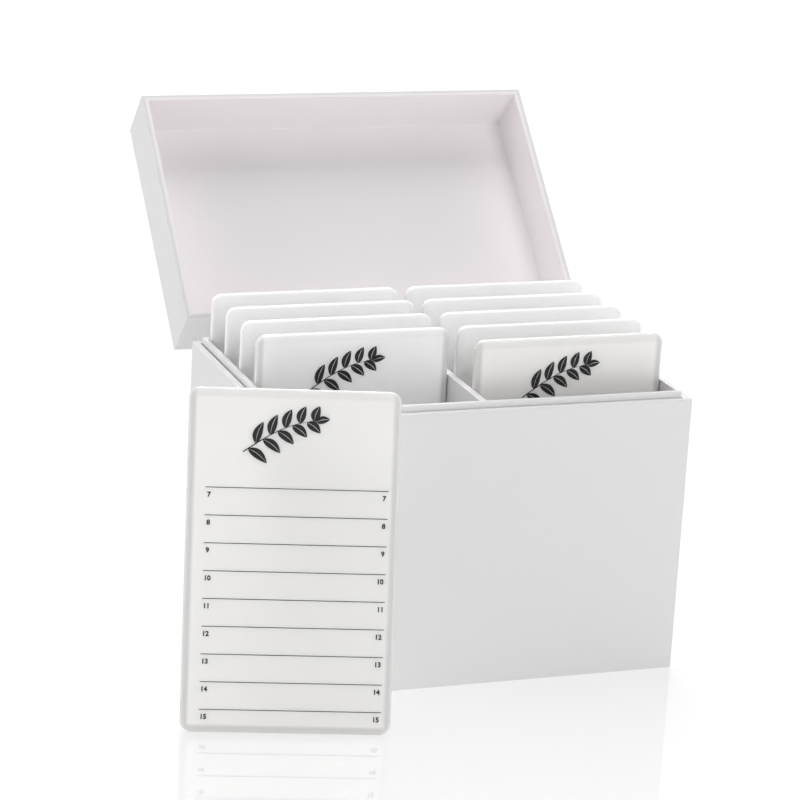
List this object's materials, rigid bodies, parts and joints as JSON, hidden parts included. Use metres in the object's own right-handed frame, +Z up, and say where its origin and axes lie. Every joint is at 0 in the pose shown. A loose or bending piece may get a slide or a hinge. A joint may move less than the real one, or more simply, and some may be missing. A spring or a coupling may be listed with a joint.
{
  "type": "eyelash tile storage box",
  "caption": "Hinged white storage box with an inner liner, a divider and slotted combs that hold flat lash tiles upright in two columns, shown open with one tile out.",
  "frame": {"origin": "on the floor, under the middle of the case's footprint", "axes": "+X to the right seen from the front, +Y to the back where the lid's hinges are, +Z up"},
  "size_m": [0.2264, 0.2786, 0.2107],
  "materials": {
    "sheet": "gloss",
    "liner": "gloss",
    "hinge": "gloss",
    "pin": "satin",
    "tile": "gloss"
  },
  "bodies": {
    "case": {"base_panel": "sheet", "front_panel": "sheet", "back_panel": "sheet", "left_panel": "sheet", "right_panel": "sheet", "liner_front": "liner", "liner_back": "liner", "liner_left": "liner", "liner_right": "liner", "centre_divider": "liner", "comb_left_outer": "liner", "comb_left_inner": "liner", "comb_right_inner": "liner", "comb_right_outer": "liner", "hinge_left_case_leaf": "hinge", "hinge_right_case_leaf": "hinge", "hinge_left_pin": "pin", "hinge_right_pin": "pin"},
    "lid": {"lid_top": "sheet", "lid_front": "sheet", "lid_back": "sheet", "lid_left": "sheet", "lid_right": "sheet", "hinge_left_lid_leaf": "hinge", "hinge_right_lid_leaf": "hinge"},
    "left_2": {"tile_left_2": "tile"},
    "left_3": {"tile_left_3": "tile"},
    "left_4": {"tile_left_4": "tile"},
    "left_5": {"tile_left_5": "tile"},
    "right_1": {"tile_right_1": "tile"},
    "right_2": {"tile_right_2": "tile"},
    "right_3": {"tile_right_3": "tile"},
    "right_4": {"tile_right_4": "tile"},
    "right_5": {"tile_right_5": "tile"},
    "loose": {"tile_loose": "tile"}
  },
  "joints": [
    {"name": "lid_hinge", "type": "hinge", "parent": "case", "child": "lid", "pos_m": [0, 0.0656, 0.1237], "axis": [-1, 0, 0], "range_deg": [-136.8, 0]},
    {"name": "left_2_lift", "type": "slide", "parent": "case", "child": "left_2", "axis": [0, 0, 1], "range_m": [0, 0.125]},
    {"name": "left_3_lift", "type": "slide", "parent": "case", "child": "left_3", "axis": [0, 0, 1], "range_m": [0, 0.125]},
    {"name": "left_4_lift", "type": "slide", "parent": "case", "child": "left_4", "axis": [0, 0, 1], "range_m": [0, 0.125]},
    {"name": "left_5_lift", "type": "slide", "parent": "case", "child": "left_5", "axis": [0, 0, 1], "range_m": [0, 0.125]},
    {"name": "right_1_lift", "type": "slide", "parent": "case", "child": "right_1", "axis": [0, 0, 1], "range_m": [0, 0.125]},
    {"name": "right_2_lift", "type": "slide", "parent": "case", "child": "right_2", "axis": [0, 0, 1], "range_m": [0, 0.125]},
    {"name": "right_3_lift", "type": "slide", "parent": "case", "child": "right_3", "axis": [0, 0, 1], "range_m": [0, 0.125]},
    {"name": "right_4_lift", "type": "slide", "parent": "case", "child": "right_4", "axis": [0, 0, 1], "range_m": [0, 0.125]},
    {"name": "right_5_lift", "type": "slide", "parent": "case", "child": "right_5", "axis": [0, 0, 1], "range_m": [0, 0.125]},
    {"name": "loose_lift", "type": "slide", "parent": "case", "child": "loose", "axis": [0, 0, 1], "range_m": [0, 0.125]}
  ]
}
